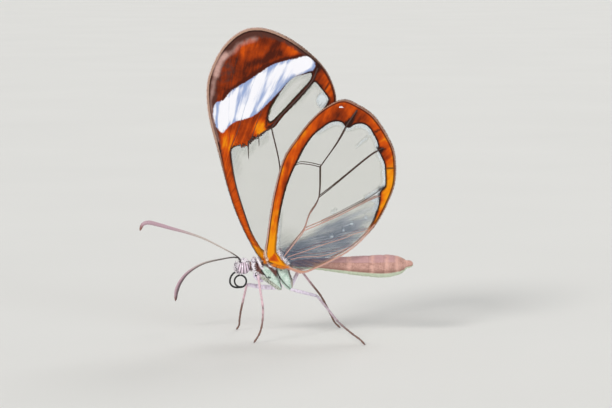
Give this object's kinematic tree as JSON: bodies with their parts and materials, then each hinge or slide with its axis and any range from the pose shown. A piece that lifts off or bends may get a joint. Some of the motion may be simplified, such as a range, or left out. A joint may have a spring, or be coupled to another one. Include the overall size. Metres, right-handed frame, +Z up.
{
  "type": "glasswing butterfly",
  "caption": "Life-size still model of a glasswing butterfly standing with its clear, orange-edged wings closed over its back.",
  "frame": {"origin": "on the floor, under the middle of the box that holds the whole butterfly", "axes": "+Z up through the closed wings, -X forwards along the body to the head, +Y to the butterfly's right"},
  "size_m": [0.0343, 0.0144, 0.0389],
  "materials": {
    "head_scales": "short white and dark purple scale tufts",
    "body_scales": "pale mint and maroon scales with black lines",
    "abdomen_scales": "pinkish-brown scales, pale below",
    "eye": "glossy, pale with dark upright stripes",
    "antenna_cuticle": "satin, dark at the root and pale towards the club",
    "dark_cuticle": "satin black",
    "leg_cuticle": "satin lilac-pink to brown",
    "wing_membrane": "clear panes in amber and dark brown scaled borders"
  },
  "bodies": {
    "root": {"abdomen": "abdomen_scales", "antenna_left": "antenna_cuticle", "antenna_right": "antenna_cuticle", "collar": "body_scales", "eye_left": "eye", "eye_right": "eye", "foreleg_left": "leg_cuticle", "foreleg_right": "leg_cuticle", "forewing_left": "wing_membrane", "forewing_right": "wing_membrane", "head": "head_scales", "hindleg_left": "leg_cuticle", "hindleg_right": "leg_cuticle", "hindwing_left": "wing_membrane", "hindwing_right": "wing_membrane", "midleg_left": "leg_cuticle", "midleg_right": "leg_cuticle", "proboscis": "dark_cuticle", "thorax": "body_scales"}
  },
  "joints": []
}
